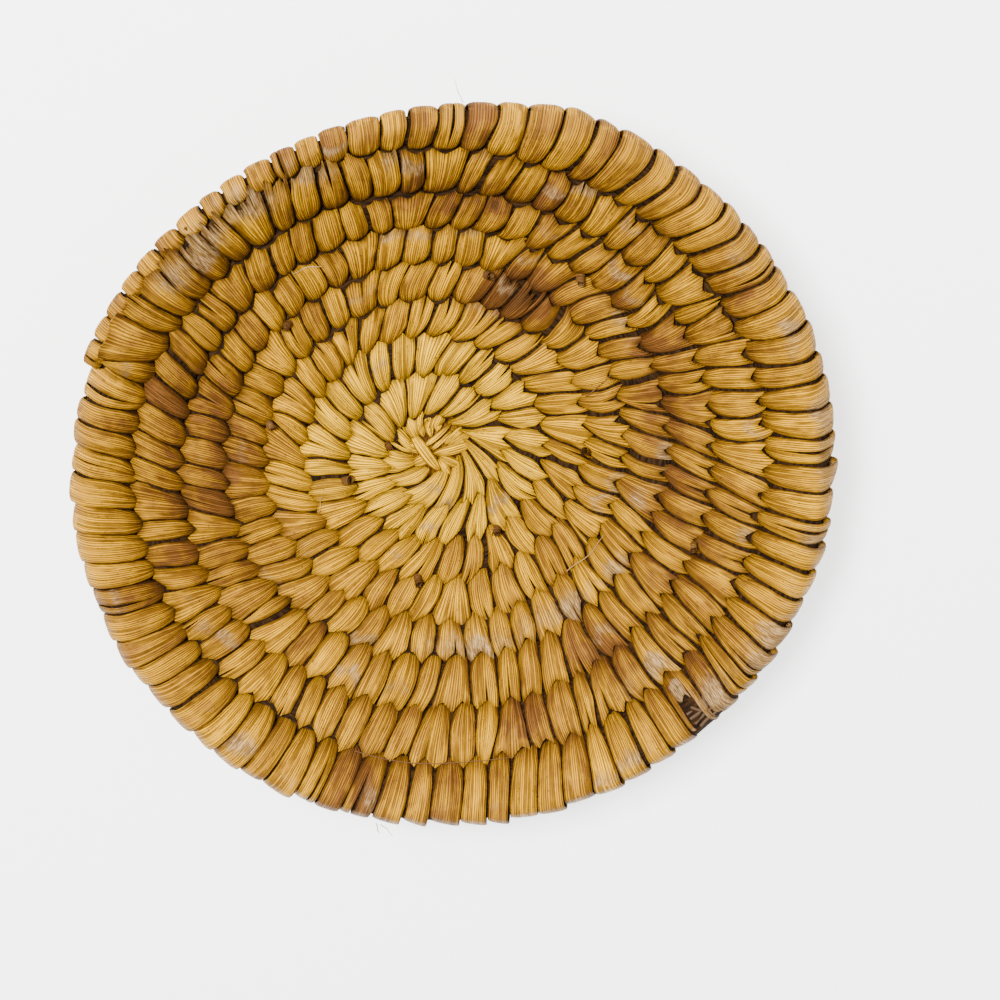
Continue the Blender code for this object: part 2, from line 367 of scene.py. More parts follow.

# Colours of the leaves, first pale and then deep, of what lies on them, and of the painted shade in their
# seams
STRAW = ((0.82, 0.425, 0.0), (0.172, 0.068, 0.013))
OCHRE = ((0.70, 0.338, 0.002), (0.168, 0.067, 0.016))
DRY = ((0.26, 0.13, 0.035), (0.09, 0.038, 0.012))
DARKEST_AMBER = (0.060, 0.027, 0.010)
LINES = (0.055, 0.019, 0.0035)
SPECKS = (0.08, 0.032, 0.008)
WORN = ((0.12, 0.066, 0.028), (0.43, 0.275, 0.125))
# Colour of the painted shade at the leaves' sides, tips, slits and heads
PAINTED_SHADE_COLOUR = (0.026, 0.009, 0.002)
SHEEN = (1.0, 0.72, 0.28, 1)
LEAF_GLOSS = 0.06
LINE_PITCH_MM = 0.64
RELIEF = 0.32 * MM
SHARP_FROM = math.radians(50)

# Colours of the rest
# Painted shade: grass colours darkened nearly to black, as the grass shows only in the shaded gaps between
# stitches
GRASS_IN_PAINTED_SHADE = ((0.006, 0.0022, 0.0005), (0.030, 0.013, 0.0032))
GRASS_GLOSS = 0.08
GRASS_RELIEF = 0.5 * MM
BROWN_FIBRE = (0.10, 0.042, 0.012)
STEM = (0.065, 0.034, 0.013)
PALE_FIBRE = (0.30, 0.18, 0.05)

# The stage
FLOOR_COLOUR = (0.90, 0.90, 0.905)
FLOOR_GLOW = 2.0
SKY_COLOUR = (1.0, 0.995, 0.985, 1)
SKY_STRENGTH = 0.87
KEY_PLACE = (-0.34, 0.52, 1.15)
KEY_WATTS = 60
KEY_SIZE = 0.32

ROOT = "root"
SEED = 7
MARKS_OF_POINTS = ("across_mm", "along_mm", "seed", "tone", "amber", "scuff", "painted_shade", "head")


def knot_centre():
    """Where the coil's own axis stands in the frame."""
    low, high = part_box("start_knot")
    return (low.x + high.x) / 2, (low.y + high.y) / 2


CENTRE_X, CENTRE_Y = knot_centre()


def view_turn():
    """Rotation that brings the bowl's axis to where the photograph shows it."""
    axis_up = math.sqrt(1 - AXIS_RIGHT ** 2 - AXIS_DOWN ** 2)
    axis = Vector((AXIS_RIGHT, -AXIS_DOWN, axis_up))
    return Vector((0, 0, 1)).rotation_difference(axis)


def view_place(turned):
    """Place of the camera that brings the knot to its pixel."""
    scale = MM_PER_PIXEL * MM
    half = FRAME_PIXELS / 2
    seen = Vector((KNOT_PIXEL[0] - half, half - KNOT_PIXEL[1], -VIEW_DISTANCE_PIXELS)) * scale
    aim = Vector((CENTRE_X, CENTRE_Y, BASE_THICKNESS / 2))
    return aim - turned.inverted() @ seen


VIEW_TURN = view_turn()
VIEW_PLACE = view_place(VIEW_TURN)


def pixel_of(point):
    """Where a point of the basket lies in the photograph."""
    seen = VIEW_TURN @ (point - VIEW_PLACE)
    scale = VIEW_DISTANCE_PIXELS / -seen.z
    return FRAME_PIXELS / 2 + seen.x * scale, FRAME_PIXELS / 2 - seen.y * scale


def make_camera():
    """The photograph's camera."""
    data = bpy.data.cameras.new("camera")
    data.sensor_width = SENSOR_MM
    data.lens = SENSOR_MM * VIEW_DISTANCE_PIXELS / FRAME_PIXELS
    data.clip_start = 0.05
    data.clip_end = 20
    camera = bpy.data.objects.new("camera", data)
    bpy.context.scene.collection.objects.link(camera)
    camera.matrix_world = Matrix.Translation(VIEW_PLACE) @ VIEW_TURN.inverted().to_matrix().to_4x4()
    bpy.context.scene.camera = camera


def patch_sum(patches, pixel):
    """Strength of all patches at a place in the photograph, each fading out from its middle."""
    total = 0.0
    for x, y, reach_x, reach_y, strength in patches:
        far = ((pixel[0] - x) / reach_x) ** 2 + ((pixel[1] - y) / reach_y) ** 2
        if far < PATCH_ENDS_AT:
            total += strength * math.exp(-far)
    return total


def fullness(turn):
    """0 on the base, rising to 1 where the coil is fullest at the rim."""
    return max(0.0, (turn - WIDEN_FROM_TURN) / (TURNS - WIDEN_FROM_TURN)) ** WIDEN_POWER


def row_width(turn):
    """Width of a row, measured along the wall."""
    return BASE_ROW_WIDTH + (RIM_ROW_WIDTH - BASE_ROW_WIDTH) * fullness(turn)


def row_thickness(turn):
    """Thickness of the coil before it tapers at its end."""
    return BASE_THICKNESS + (RIM_THICKNESS - BASE_THICKNESS) * fullness(turn)


def wall_slope(turn):
    """Rise of the wall: none on the base, then ever nearer to its full slope."""
    beyond = max(0.0, turn - BASE_TURNS)
    return WALL_SLOPE * (1 - math.exp(-beyond / SLOPE_EASE_TURNS))


def wall_profile():
    """Radius and height of the coil's outer edge, stepped along the turns."""
    points = [(KNOT_RADIUS, BASE_THICKNESS / 2 - BASE_FLAT_DEPTH)]
    step = TURNS / PROFILE_STEPS
    for index in range(PROFILE_STEPS):
        middle = (index + 0.5) * step
        reach = row_width(middle) * step
        radius, height = points[-1]
        slope = wall_slope(middle)
        points.append((radius + reach * math.cos(slope), height + reach * math.sin(slope)))
    return points


PROFILE = wall_profile()


def outer_edge(turn):
    """Radius and height of the groove on the coil's outer side."""
    place = min(max(turn, 0.0), TURNS) / TURNS * PROFILE_STEPS
    index = min(int(place), PROFILE_STEPS - 1)
    share = place - index
    first = PROFILE[index]
    second = PROFILE[index + 1]
    return first[0] + (second[0] - first[0]) * share, first[1] + (second[1] - first[1]) * share


def coil_frame(turn):
    """Inner groove, outward direction and full width of the row at a turn."""
    inner_r, inner_z = outer_edge(turn - 1)
    outer_r, outer_z = outer_edge(turn)
    along_r = outer_r - inner_r
    along_z = outer_z - inner_z
    width = math.hypot(along_r, along_z)
    return inner_r, inner_z, along_r / width, along_z / width, width - ROW_GAP


def end_share(turn):
    """1 along the coil, falling to 0 at its tapered end."""
    return min(1.0, max(0.0, (TURNS - turn) / TAPER_TURNS)) ** TAPER_POWER


def coil_size(turn, full_width):
    """Width and half thickness of the coil at a turn."""
    share = end_share(turn)
    width = full_width if share == 1 else END_WIDTH + (full_width - END_WIDTH) * share
    return width, (END_THICKNESS + (row_thickness(turn) - END_THICKNESS) * share) / 2


def coil_point(turn, across, up, lowest=0.0):
    """Point beside the inner groove: across towards the rim, up towards the inside of the bowl."""
    inner_r, inner_z, out_r, out_z, _ = coil_frame(turn)
    radius = inner_r + out_r * (across + ROW_GAP / 2) - out_z * up
    height = inner_z + out_z * (across + ROW_GAP / 2) + out_r * up
    angle = TAU * turn
    x = CENTRE_X + radius * math.cos(angle)
    y = CENTRE_Y + radius * math.sin(angle)
    return Vector((x, y, max(lowest, height)))


def middle_radius(turn):
    """Distance of the coil's centre line from the bowl's axis."""
    return (outer_edge(turn - 1)[0] + outer_edge(turn)[0]) / 2


def stitch_marks():
    """Turns at which one stitch ends and the next begins."""
    count = SHORT_SPLINTS * SHORT_SPLINT_STITCHES + LONG_SPLINTS * LONG_SPLINT_STITCHES
    step = (TURNS - START_TURN) / MARK_STEPS
    passed = [0.0]
    for index in range(MARK_STEPS):
        turn = START_TURN + (index + 0.5) * step
        ease = min(1.0, turn / PITCH_EASE_TURNS)
        closeness = 1 / (FIRST_PITCH_SHARE + (1 - FIRST_PITCH_SHARE) * ease)
        passed.append(passed[-1] + TAU * middle_radius(turn) * step * closeness)
    marks = []
    place = 0
    for number in range(count):
        wanted = passed[-1] * number / count
        while passed[place + 1] < wanted:
            place += 1
        share = (wanted - passed[place]) / (passed[place + 1] - passed[place])
        marks.append(START_TURN + (place + share) * step)
    return marks + [TURNS]


def splint_runs():
    """First and last mark of each splint."""
    runs = []
    start = 0
    for number in range(SHORT_SPLINTS + LONG_SPLINTS):
        end = start + (SHORT_SPLINT_STITCHES if number < SHORT_SPLINTS else LONG_SPLINT_STITCHES)
        runs.append((start, end))
        start = end
    return runs


def from_table(table, degrees):
    """Value between the nearest entries of a table that runs once round the bowl."""
    places = [place for place, _ in table]
    index = bisect.bisect(places, degrees)
    before = table[index - 1]
    after = table[index % len(table)]
    gap = (after[0] - before[0]) % 360
    share = (degrees - before[0]) % 360 / gap
    return before[1] + (after[1] - before[1]) * share


def lean_at(turn):
    """Degrees that a stitch's outer end is turned back along the coil, as the photograph shows it."""
    place = turn % 1 * LEAN_PLACES
    index = int(place)
    share = place - index
    leans = [row[index] + (row[(index + 1) % LEAN_PLACES] - row[index]) * share for _, row in LEANS]
    turns = [entry for entry, _ in LEANS]
    after = min(len(turns) - 1, max(1, bisect.bisect(turns, turn)))
    outward = min(1.0, max(0.0, (turn - turns[after - 1]) / (turns[after] - turns[after - 1])))
    return leans[after - 1] + (leans[after] - leans[after - 1]) * outward


class Drift:
    """A number that wanders: each value stays near the one before."""

    def __init__(self, spread, draw):
        self.spread = spread
        self.draw = draw
        self.value = 0.0

    def step(self):
        fresh = math.sqrt(1 - DRIFT_MEMORY ** 2) * self.spread
        self.value = DRIFT_MEMORY * self.value + self.draw.gauss(0, fresh)
        return self.value


class Seam:
    """The line between one stitch and the next, from the inner groove (share 0) to the outer one (1)."""

    def __init__(self, place, lean, bend):
        _, _, out_r, _, width = coil_frame(place)
        self.place = place
        self.radius = middle_radius(place)
        self.reach = out_r * width
        self.slant = math.tan(math.radians(lean_at(place) + lean)) * width
        self.bend = bend
        self.snap = 0.0

    def at(self, share):
        run = self.bend * (1 - 4 * (share - 0.5) ** 2) - self.slant * (share - 0.5)
        run += self.snap * max(0.0, share) ** 2
        return self.place + run * self.turn_per_metre(share)

    def turn_per_metre(self, share):
        return 1 / (TAU * max(4 * MM, self.radius + self.reach * (share - 0.5)))


class Stitch:
    """One stitch: the seams on its two sides, and what makes it differ from the next."""

    def __init__(self, index, low, high, draw):
        self.index = index
        self.low = low
        self.high = high
        self.middle = (low.place + high.place) / 2
        self.full_width = coil_frame(self.middle)[4]
        self.turn_per_metre = 1 / (TAU * middle_radius(self.middle))
        self.half_metres = (high.place - low.place) / 2 / self.turn_per_metre
        self.on_rim = self.middle > TURNS - 1.0
        self.lift = draw.uniform(*LIFTS_MM) * MM
        self.roll = draw.gauss(ROLL, ROLL_SPREAD)
        self.slant = draw.gauss(0, SLANT_SPREAD) * MM
        self.jag = from_table(JAG_DEPTHS, self.middle % 1 * 360)
        self.neck = 1 - (1 - draw.uniform(*NECKS)) * min(1.0, self.jag + 0.2)
        self.edge_out = draw.uniform(*EDGES_OUT_MM) * MM
        self.seed = draw.random()
        self.tone = draw.gauss(0, 1)
        self.wave = draw.uniform(*WAVES_MM) * MM
        self.gaps = [self.side_gap(draw), self.side_gap(draw)]
        self.scuff_place = draw.uniform(*SCUFF_PLACES)
        self.scuff = draw.uniform(*SCUFFS) if draw.random() < SCUFF_CHANCE else 0.0
        self.thin_ahead = 1 - end_share(self.middle + 1) if not self.on_rim else 0.0
        back = coil_point(self.middle, self.full_width * 0.7, row_thickness(self.middle) / 2)
        self.fray = min(1.0, patch_sum(FRAY_PATCHES, pixel_of(back))) if not self.on_rim else 0.0
        half = (high.place - low.place) / 2
        self.broken = abs(self.middle - BREAK_TURN) < half
        if abs(self.middle - BREAK_TURN) < 2.5 * half:
            self.scuff = 1.0

    def at(self, share, t):
        """Turn of a point, t across the stitch from -1 to 1."""
        low = self.low.at(share)
        high = self.high.at(share)
        return (low + high) / 2 + t * (high - low) / 2

    def neck_at(self, q):
        """Share of its width that the stitch has on its way from head to tip."""
        near = min(1.0, q / NECK_LENGTH)
        return self.neck + (1 - self.neck) * near * (2 - near)

    def side_gap(self, draw):
        """Gap left free at one side: mostly narrow, now and then wide."""
        if draw.random() < WIDE_GAP_CHANCE:
            return draw.uniform(WIDE_GAP_FROM_MM, WIDEST_RIM_GAP_MM if self.on_rim else WIDEST_GAP_MM) * MM
        return SIDE_GAP + draw.expovariate(1 / GAP_SPREAD)

    def set_slits(self, heads, draw):
        """Where the leaf has split lengthwise, how far, and how its slivers end."""
        self.slit_from = draw.uniform(*SLITS_FROM)
        self.gape = draw.uniform(*SLIT_GAPES_MM) * MM
        chance = EARLY_SLIT_CHANCE if self.middle < EARLY_TURNS else SLIT_CHANCE
        if self.on_rim:
            chance = RIM_SLIT_CHANCE
        notches = heads.notches(self)
        inner_notches = [place for place in notches if abs(place) < SLIT_NOTCHES_WITHIN]
        cuts = []
        if self.fray > FRAYED:
            cuts = list(FRAY_CUTS)
            self.slit_from = draw.uniform(*FRAY_SLITS_FROM)
            self.gape = FRAY_GAPE
        elif self.broken:
            cuts = list(BREAK_CUTS)
        elif draw.random() < chance:
            at_notch = inner_notches and draw.random() < SLIT_AT_NOTCH_CHANCE
            cuts = [inner_notches[0] if at_notch else draw.uniform(*SLIT_PLACES)]
        self.strips = list(zip([-1.0] + cuts, cuts + [1.0]))
        self.ends = []
        for _ in self.strips:
            end = draw.uniform(*(SLIVER_ENDS_MM if len(self.strips) > 1 else LEAF_ENDS_MM))
            if self.fray > FRAYED:
                end += draw.uniform(*FRAY_ENDS_MM)
            self.ends.append(end * MM)
        self.rises = [draw.uniform(*SLIVER_RISES_MM) * MM for _ in self.strips]
        self.kinks = [place for place in notches if abs(place) < KINKS_WITHIN]


def make_stitches(marks, draw):
    """All stitches from the knot to the tip, and the jagged line between their rows."""
    lean = Drift(LEAN_DRIFT, draw)
    bend = Drift(BEND_DRIFT, draw)
    seams = []
    for index, mark in enumerate(marks):
        place = mark
        if 0 < index < len(marks) - 1:
            place += draw.uniform(-MARK_SPREAD, MARK_SPREAD) * (marks[index + 1] - mark) / 2
        seams.append(Seam(place, lean.step(), bend.step()))
    stitches = [Stitch(index, low, high, draw) for index, (low, high) in enumerate(zip(seams, seams[1:]))]
    heads = Heads(stitches, seams, draw)
    settle_tips(seams, heads, draw)
    for stitch in stitches:
        stitch.set_slits(heads, draw)
    return stitches, heads


def settle_tips(seams, heads, draw):
    """Moves each seam's outer end to a side of a head, for forked tips, or its middle, for pointed ones."""
    drift = Drift(FORK_DRIFT, draw)
    for seam in seams:
        end = seam.at(1.0)
        forked = pixel_of(coil_point(end, 0.0, 0.0))[0] > FORKS_RIGHT_OF + drift.step()
        head = heads.head_after(end)
        if head is None:
            continue
        low = heads.sides[head]
        high = heads.sides[head + 1]
        share = (end + 1 - low) / (high - low)
        move = (round(share) if forked else 0.5) - share
        move = min(SNAP_MOST, max(-SNAP_MOST, move))
        seam.snap = move * (high - low) / seam.turn_per_metre(1.0)


class Heads:
    """The jagged line between two rows: heads of one row between the split tips of the row before."""

    def __init__(self, stitches, seams, draw):
        self.sides = [seam.at(0.0) for seam in seams]
        line = Drift(LINE_DRIFT, draw)
        self.lows = []
        self.highs = []
        for stitch in stitches:
            middle = line.step()
            self.lows.append(middle - HEAD_REACH * stitch.jag * draw.uniform(*HEAD_SHARES))
            self.highs.append(middle + PRONG_REACH * stitch.jag * draw.uniform(*PRONG_SHARES))
        self.highs.append(0.0)

    def jag(self, head, t):
        """Place of the line across a head, t from -1 to 1, outwards from the groove."""
        low = self.lows[head]
        return low + (self.highs[head + (t > 0)] - low) * abs(t) ** HEAD_POWER

    def head_after(self, turn):
        """Which head of the next row lies beside a place in this one, if there is one."""
        index = bisect.bisect(self.sides, turn + 1) - 1
        return index if 0 <= index < len(self.lows) else None

    def tip_line(self, turn):
        """How far a row's outer end reaches past its groove, at a turn."""
        head = self.head_after(turn)
        if head is None:
            return FREE_TIP
        low = self.sides[head]
        high = self.sides[head + 1]
        return self.jag(head, (2 * (turn + 1) - low - high) / (high - low))

    def notches(self, stitch):
        """Where heads and prongs of the line fall across the tip of a stitch, from -1 to 1."""
        middle = stitch.at(1.0, 0.0)
        half = stitch.at(1.0, 1.0) - middle
        head = self.head_after(middle)
        found = []
        if head is None:
            return found
        for near in range(max(0, head - 2), min(len(self.lows), head + 3)):
            for place in ((self.sides[near] + self.sides[near + 1]) / 2, self.sides[near]):
                across = (place - 1 - middle) / half
                if abs(across) < 1:
                    found.append(across)
        return found


def crown(across, width, thick):
    """Height of the row's round back above the middle of the coil."""
    half = width / 2
    place = min(1.0, abs(across - half) / (half + HEAD_REACH + CROWN_PAST_HEADS))
    back = (1 - place ** CROWN_POWER) ** (1 / CROWN_POWER)
    return thick * (CROWN_FLOOR + (1 - CROWN_FLOOR) * back)


def bunched(x):
    """Column places drawn towards the strip's sides, where it bends most."""
    return x * (1.2 - 0.2 * x * x)


def drawn_to_kinks(t, q, kinks):
    """Moves a column towards a kink of the jagged line, the nearer to the tip the more."""
    for kink in kinks:
        far = abs(t - kink)
        if far < KINK_REACH:
            return t + (kink - t) * q
    return t


def slit_open(stitch, x, low, high, open_share):
    """Sideways move of a sliver's sides in metres, and how far they fall."""
    move = 0.0
    fall = 0.0
    if low > -1:
        move += stitch.gape * open_share * (1 - x) / 2
        fall += max(0.0, -x) ** 3 * open_share
    if high < 1:
        move -= stitch.gape * open_share * (1 + x) / 2
        fall += max(0.0, x) ** 3 * open_share
    return move, fall


def side_move(stitch, t, wave):
    """Move of a stitch's sides that leaves its gaps free and makes its edges a little wavy."""
    return stitch.gaps[0] * max(0, -t) - stitch.gaps[1] * max(0, t) + math.sin(wave) * stitch.wave * t * t


def fan(q):
    """Share of its full width that the leaf is gathered to near the head."""
    near = min(1.0, q / VEIN_FAN_LENGTH)
    return VEIN_FAN + (1 - VEIN_FAN) * near * near * (3 - 2 * near)


def leaf_vertex(stitch, heads, x, q, index, side):
    """Place of a point of one strip, x across it from -1 to 1 and q from head to tip, with its marks."""
    low, high = stitch.strips[index]
    end = stitch.ends[index]
    if not side:
        low, high, end = -1.0, 1.0, 0.0
    t = (low + high) / 2 + (high - low) / 2 * bunched(x)
    if side and len(stitch.strips) == 1:
        t = drawn_to_kinks(t, q, stitch.kinks)
    width, thick = coil_size(stitch.middle, stitch.full_width)
    in_reach = heads.jag(stitch.index, t) - HEAD_TUCK
    if stitch.middle < 1:
        in_reach -= FIRST_TURN_TUCK * (1 - stitch.middle)
    out_reach = heads.tip_line(stitch.at(1.0, t)) + end + stitch.slant * t
    out_reach += (LAP if side else UNDER_LAP) * stitch.thin_ahead
    across = in_reach + (width + out_reach - in_reach) * q
    neck = stitch.neck_at(q) * (1 - TIP_NARROW * stitch.jag * q ** 6)
    open_share = max(0.0, q - stitch.slit_from) / (1 - stitch.slit_from)
    move, slit_fall = slit_open(stitch, x, low, high, open_share) if side else (0.0, 0.0)
    move += side_move(stitch, t, 9 * q + 40 * stitch.seed)
    turn = stitch.at(across / width, t * neck) + move * stitch.turn_per_metre
    up = crown(across, width, thick) - PILLOW * abs(t) ** 3 - SLIT_FALL * slit_fall
    up -= HEAD_FALL * (1 - q) ** 5
    up += stitch.lift * math.sin(math.pi * q) + stitch.roll * t * stitch.half_metres
    up += (LAP_RISE * stitch.thin_ahead + stitch.fray * stitch.rises[index]) * q ** 2
    if not side:
        climb = max(0.0, q - UNDER_CLIMB_FROM) / (1 - UNDER_CLIMB_FROM)
        up *= 1 - UNDER_CLIMB * stitch.thin_ahead * climb * climb
    point = coil_point(turn, across, up if side else -up, UNDERSIDE)
    # Painted shade: darker towards the strip's sides, its tip and the fallen sides of a slit
    painted_shade = max(abs(t) ** 9, 0.8 * q ** 13, 0.9 * slit_fall)
    return point, t * stitch.half_metres / fan(q), q * width, painted_shade, (1 - q) ** 2


def wrap_vertex(stitch, heads, x, q, index):
    """Point of a stitch on the last turn, which runs over the open edge and back underneath."""
    low, high = stitch.strips[index]
    t = (low + high) / 2 + (high - low) / 2 * bunched(x)
    if stitch.broken and index == 1:
        q *= BREAK_STOP + 0.03 * math.sin(7 * x)
    above = q <= 0.5
    walk = math.sin(math.pi * (RIM_START + (1 - 2 * RIM_START) * q))
    first_walk = math.sin(math.pi * RIM_START)
    walk = (walk - first_walk) / (1 - first_walk)
    open_share = math.sin(math.pi * min(1.0, q * 1.3)) ** 2
    move, slit_fall = slit_open(stitch, x, low, high, open_share)
    move += side_move(stitch, t, 14 * q + 40 * stitch.seed)
    width, thick = coil_size(stitch.at(0.5, t), stitch.full_width)
    in_reach = heads.jag(stitch.index, t) - HEAD_TUCK
    across = in_reach + (width - in_reach) * walk
    outward = max(0.0, 2 * across / width - 1)
    neck = stitch.neck_at(walk) - RIM_NARROW * outward ** 3
    turn = stitch.at(across / stitch.full_width, t * neck) + move * stitch.turn_per_metre
    back = (1 - min(1.0, outward) ** RIM_BACK_POWER) ** (1 / RIM_BACK_POWER)
    up = crown(across, width, thick) if across < width / 2 else thick * back
    fall = PILLOW * t ** 4 + SLIT_FALL * slit_fall
    sink = HEAD_FALL + LAP_SINK * (1 - end_share(stitch.middle))
    up -= fall * min(1.0, up / thick + 0.2) + sink * (1 - walk) ** 5
    roll = stitch.roll * t * stitch.half_metres
    across += (stitch.edge_out - 0.3 * fall + 1.4 * roll) * outward ** 2 * end_share(turn)
    up += (stitch.lift * math.sin(math.pi * walk) + roll) * back
    point = coil_point(turn, across, up if above else -up)
    along = walk * width if above else (2 - walk) * width + thick
    # Painted shade: darker towards the strip's sides and the fallen sides of a slit
    painted_shade = max(abs(t) ** 9, 0.9 * slit_fall)
    return point, t * stitch.half_metres / fan(walk), along, painted_shade, (1 - walk) ** 2


def mark(layers, vert, across, along, seed, tone, amber, scuff, painted_shade, head=0.0):
    """Sets what the leaf's material reads at a point, painted shade among it."""
    values = (across / MM, along / MM, seed, tone, amber, scuff, painted_shade, head)
    for name, value in zip(MARKS_OF_POINTS, values):
        vert[layers[name]] = value


def faces_of(verts):
    """Faces round some points, in the same order each run."""
    return list(dict.fromkeys(face for vert in verts for face in vert.link_faces))


def add_strip(mesh, layers, stitch, columns, rows, place, flip):
    """A grid laid out as one strip of leaf, given its thickness, closed all round."""
    grid = bmesh.ops.create_grid(mesh, x_segments=columns, y_segments=rows, size=1.0)
    verts = grid["verts"]
    for vert in verts:
        q = (vert.co.y + 1) / 2
        point, across, along, painted_shade, head = place(vert.co.x, q)
        pixel = pixel_of(point)
        vert.co = point
        worn = q if not stitch.on_rim else min(1.0, 2 * q)
        spot = stitch.scuff * math.exp(-((worn - stitch.scuff_place) / SCUFF_REACH) ** 2)
        # Amber depth from the patches, one of which also carries painted light on the upper-left wall
        amber = PLAIN_AMBER + patch_sum(AMBER_AND_PAINTED_LIGHT_PATCHES, pixel)
        scuff = patch_sum(SCUFF_PATCHES, pixel) * (0.25 + 0.9 * worn) + spot
        mark(layers, vert, across, along, stitch.seed, stitch.tone, amber, scuff, painted_shade, head)
    faces = faces_of(verts)
    if flip:
        bmesh.ops.reverse_faces(mesh, faces=faces)
    bmesh.ops.solidify(mesh, geom=verts + faces, thickness=STRIP_THICKNESS)


def finish_mesh(mesh, name, paint):
    """Object made from a mesh, shaded smooth but for its sharp edges."""
    data = bpy.data.meshes.new(name)
    mesh.to_mesh(data)
    mesh.free()
    data.shade_smooth()
    data.set_sharp_from_angle(angle=SHARP_FROM)
    data.materials.append(paint)
    made = bpy.data.objects.new(name, data)
    bpy.context.scene.collection.objects.link(made)
    return made


def new_mesh():
    """Empty mesh with a layer for each mark that the materials read."""
    mesh = bmesh.new()
    layers = {name: mesh.verts.layers.float.new(name) for name in MARKS_OF_POINTS}
    return mesh, layers


def dress(made, node):
    """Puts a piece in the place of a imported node."""
    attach(made, ROOT)
    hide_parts(node)


def make_splint(number, stitches, heads, paint):
    """All stitches of one splint, above and below, as one piece."""
    mesh, layers = new_mesh()
    for stitch in stitches:
        count = len(stitch.strips)
        columns = STITCH_COLUMNS if count == 1 else SLIVER_COLUMNS if count < SHREDS else SHRED_COLUMNS
        for index in range(count):
            if stitch.on_rim:
                add_strip(mesh, layers, stitch, columns, RIM_ROWS,
                          lambda x, q: wrap_vertex(stitch, heads, x, q, index), True)
            else:
                add_strip(mesh, layers, stitch, columns, STITCH_ROWS,
                          lambda x, q: leaf_vertex(stitch, heads, x, q, index, True), True)
        if not stitch.on_rim:
            add_strip(mesh, layers, stitch, UNDER_COLUMNS, UNDER_ROWS,
                      lambda x, q: leaf_vertex(stitch, heads, x, q, 0, False), False)
    node = f"splint_{number:02d}"
    dress(finish_mesh(mesh, f"{node}_stitches", paint), node)


class Graph:
    """Adds and joins the nodes of one material."""

    def __init__(self, name):
        self.material = bpy.data.materials.new(name)
        self.material.use_nodes = True
        self.tree = self.material.node_tree
        self.shader = self.tree.nodes["Principled BSDF"]

    def shade(self, name, value):
        self.feed(self.shader.inputs[name], value)

    def feed(self, socket, value):
        if isinstance(value, bpy.types.NodeSocket):
            self.tree.links.new(value, socket)
        else:
            socket.default_value = value

    def attribute(self, name):
        made = self.tree.nodes.new("ShaderNodeAttribute")
        made.attribute_name = name
        return made.outputs["Fac"]

    def maths(self, operation, *values, clamp=False):
        made = self.tree.nodes.new("ShaderNodeMath")
        made.operation = operation
        made.use_clamp = clamp
        for socket, value in zip(made.inputs, values):
            self.feed(socket, value)
        return made.outputs[0]

    def add(self, first, second):
        return self.maths("ADD", first, second)

    def times(self, first, second):
        return self.maths("MULTIPLY", first, second)

    def fit(self, value, low, high, to_low=0.0, to_high=1.0):
        made = self.tree.nodes.new("ShaderNodeMapRange")
        made.interpolation_type = "SMOOTHSTEP"
        for place, given in enumerate((value, low, high, to_low, to_high)):
            self.feed(made.inputs[place], given)
        return made.outputs[0]

    def vector(self, x, y, z):
        made = self.tree.nodes.new("ShaderNodeCombineXYZ")
        for socket, value in zip(made.inputs, (x, y, z)):
            self.feed(socket, value)
        return made.outputs[0]

    def noise(self, place, detail=2.0, roughness=0.5):
        made = self.tree.nodes.new("ShaderNodeTexNoise")
        self.feed(made.inputs["Vector"], place)
        made.inputs["Scale"].default_value = 1.0
        made.inputs["Detail"].default_value = detail
        made.inputs["Roughness"].default_value = roughness
        return made.outputs["Fac"]

    def blend(self, share, first, second):
        made = self.tree.nodes.new("ShaderNodeMix")
        made.data_type = "RGBA"
        self.feed(made.inputs["Factor"], share)
        for name, value in (("A", first), ("B", second)):
            socket = [entry for entry in made.inputs if entry.name == name and entry.type == "RGBA"][0]
            self.feed(socket, value if isinstance(value, bpy.types.NodeSocket) else (*value, 1))
        return [entry for entry in made.outputs if entry.type == "RGBA"][0]

    def bump(self, height, distance):
        made = self.tree.nodes.new("ShaderNodeBump")
        made.inputs["Strength"].default_value = 1.0
        made.inputs["Distance"].default_value = distance
        self.feed(made.inputs["Height"], height)
        self.shade("Normal", made.outputs["Normal"])


def plain_material(name, colour, roughness):
    """One even colour."""
    graph = Graph(name)
    graph.shade("Base Color", (*colour, 1))
    graph.shade("Roughness", roughness)
    return graph.material


